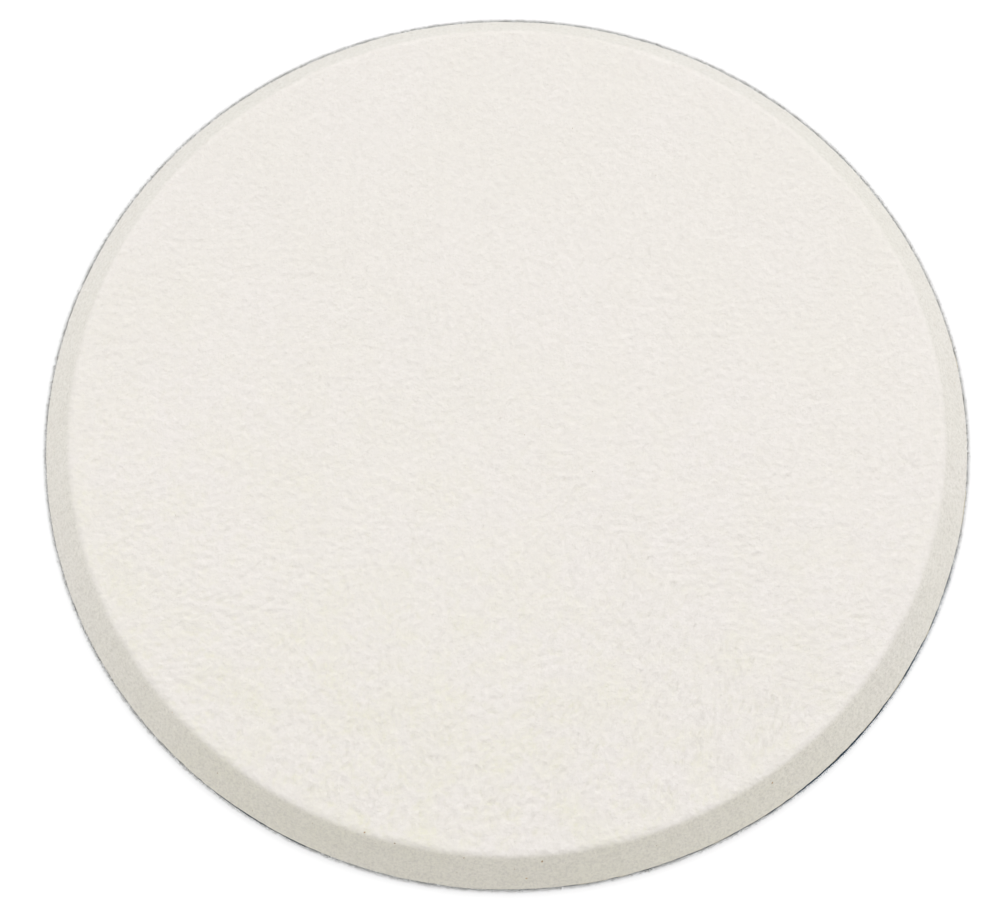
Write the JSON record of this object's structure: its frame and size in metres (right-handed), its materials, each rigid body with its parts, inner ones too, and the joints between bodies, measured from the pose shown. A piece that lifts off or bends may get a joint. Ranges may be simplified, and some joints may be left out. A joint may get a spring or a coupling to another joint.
{
  "type": "felt polishing wheel",
  "caption": "Flat round pressed-felt polishing wheel with a bevelled rim, bonded to a dark loop-cloth backing that grips a hook-faced machine pad.",
  "frame": {"origin": "centre of the loop face that the wheel lies on, at the level of the loop tips", "axes": "+Z through the wheel's centre towards the felt working face, which is its spin axis in use; +X and +Y are any two directions across it, with -Y the side nearest the viewer"},
  "size_m": [0.1524, 0.1524, 0.0063],
  "materials": {
    "felt": "matte",
    "adhesive": "satin",
    "backing_cloth": "matte",
    "loop_yarn": "satin"
  },
  "bodies": {
    "root": {"felt_pad": "felt", "bond_film": "adhesive", "loop_ground_cloth": "backing_cloth", "loop_pile": "loop_yarn"}
  },
  "joints": []
}
